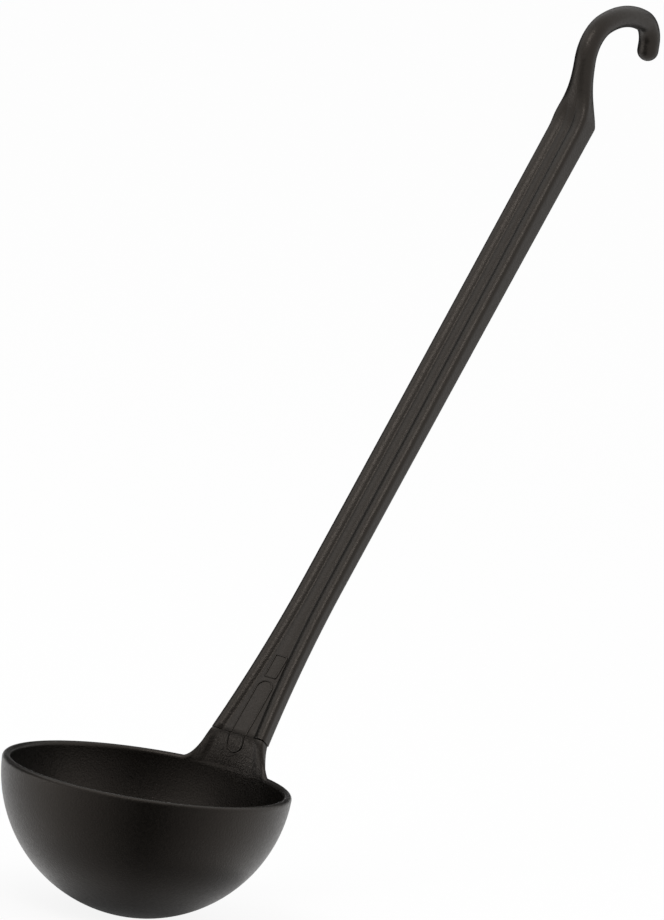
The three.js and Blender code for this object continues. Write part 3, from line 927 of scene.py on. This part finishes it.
def make_reflection_card(name, rows, turns, fades):
    """Card of rows round the bowl's axis, a painted reflection that fades to white on both sides of its
    darkest line.
    """
    facing = math.atan2(-math.cos(CAMERA_AZIMUTH), math.sin(CAMERA_AZIMUTH))
    left, right = fades
    points = []
    reflection_glows = []
    for radius, height, glow in rows:
        for turn in turns:
            aside = turn - CARD_TURN
            side = min(1.0, abs(aside) / (right if aside > 0 else left))
            x = radius * math.cos(facing + turn)
            y = radius * math.sin(facing + turn) - SEAT[0] * MM
            points.append((x, y, cad_box[0][2] + height))
            # painted reflection: glow from dark on the line towards the camera to white at the sides
            reflection_glows.append(glow if radius < CARD_NEAR_DARK else lerp(glow, 1.0, side))
    size = len(turns)
    faces = []
    for r in range(len(rows) - 1):
        for i in range(size - 1):
            a = r * size + i
            faces.append((a, a + 1, a + size + 1, a + size))
    add_reflection_card(name, points, faces, reflection_glows)


# Painted reflection: a dark glowing card behind the handle that only reflections see
def make_back_reflection_card():
    toward = Vector((math.sin(CAMERA_AZIMUTH), -math.cos(CAMERA_AZIMUTH), 0))
    sideways = Vector((math.cos(CAMERA_AZIMUTH), math.sin(CAMERA_AZIMUTH), 0))
    middle = Vector((0, -SEAT[0] * MM, cad_box[0][2] + CARD_BACK_HEIGHT)) - CARD_BACK_AWAY * toward
    rise = Vector((0, 0, CARD_BACK_HALF))
    left, right = (middle + side * sideways for side in CARD_BACK_SIDES)
    points = [left - rise, right - rise, right + rise, left + rise]
    add_reflection_card("painted_reflection_back", points, [(0, 1, 2, 3)], [REFLECTION_BACK_GLOW] * len(points))


def make_reflection_cards():
    """Cards round the bowl and behind the handle that paint dark reflections, so that the front and the
    outlines stay dark.
    """
    make_reflection_card("painted_reflection_near", CARD_NEAR, CARD_NEAR_TURNS, CARD_NEAR_FADE)
    make_reflection_card("painted_reflection_fan", CARD_FAN, CARD_FAN_TURNS, CARD_FAN_FADE)
    make_reflection_card("painted_reflection_left", CARD_RING, CARD_RING_TURNS, NO_FADE)
    make_back_reflection_card()


def make_world():
    """White surroundings where seen, and an even soft light."""
    world = bpy.data.worlds.new("world")
    bpy.context.scene.world = world
    world.use_nodes = True
    nodes = world.node_tree.nodes
    links = world.node_tree.links
    sky = nodes["Background"]
    sky.inputs["Color"].default_value = (1, 1, 1, 1)
    strength = nodes.new("ShaderNodeMapRange")
    strength.inputs["To Min"].default_value = WORLD_LIGHT
    strength.inputs["To Max"].default_value = 1.0
    links.new(seen_directly(nodes, links), strength.inputs["Value"])
    links.new(strength.outputs["Result"], sky.inputs["Strength"])


def camera_axes():
    """Right, up and forward of the fitted camera."""
    a, e, r = CAMERA_AZIMUTH, CAMERA_ELEVATION, CAMERA_ROLL
    away = Vector((-math.sin(a), math.cos(a), 0))
    right = Vector((math.cos(a), math.sin(a), 0))
    rise = Vector((0, 0, 1))
    forward = away * math.cos(e) - rise * math.sin(e)
    up = away * math.sin(e) + rise * math.cos(e)
    return right * math.cos(r) + up * math.sin(r), up * math.cos(r) - right * math.sin(r), forward


def make_camera():
    x_axis, y_axis, forward = camera_axes()
    place = BOWL_CENTRE - CAMERA_DISTANCE * forward + CAMERA_SHIFT[0] * x_axis + CAMERA_SHIFT[1] * y_axis
    data = bpy.data.cameras.new("camera")
    data.sensor_fit = "VERTICAL"
    data.sensor_height = SENSOR
    data.lens = FOCAL_PIXELS * SENSOR / IMAGE_HEIGHT
    camera = bpy.data.objects.new("camera", data)
    bpy.context.scene.collection.objects.link(camera)
    turn = Matrix((x_axis, y_axis, -forward)).transposed()
    camera.matrix_world = Matrix.Translation(place * MM) @ turn.to_4x4()
    bpy.context.scene.camera = camera


def make_area(name, target, offset, width, height, power):
    data = bpy.data.lights.new(name, "AREA")
    data.shape = "RECTANGLE"
    data.size = width
    data.size_y = height
    data.energy = power
    lamp = bpy.data.objects.new(name, data)
    bpy.context.scene.collection.objects.link(lamp)
    place = target + Vector(offset)
    lamp.location = place
    lamp.rotation_euler = (target - place).to_track_quat("-Z", "Y").to_euler()


def make_lamps():
    middle = (Vector(cad_box[0]) + Vector(cad_box[1])) / 2
    make_area("softbox_top", middle, *SOFTBOX_TOP)
    make_area("softbox_left", middle, *SOFTBOX_LEFT)
    make_area("strip_left", BOWL_CENTRE * MM, *STRIP_LEFT)


bpy.context.scene.view_settings.view_transform = "Standard"
plastic = composite_material()
make_bowl(plastic)
make_handle(plastic)
make_frames(plastic)
make_floor()
# painted reflections from glowing cards that no camera sees
make_reflection_cards()
make_world()
make_camera()
make_lamps()
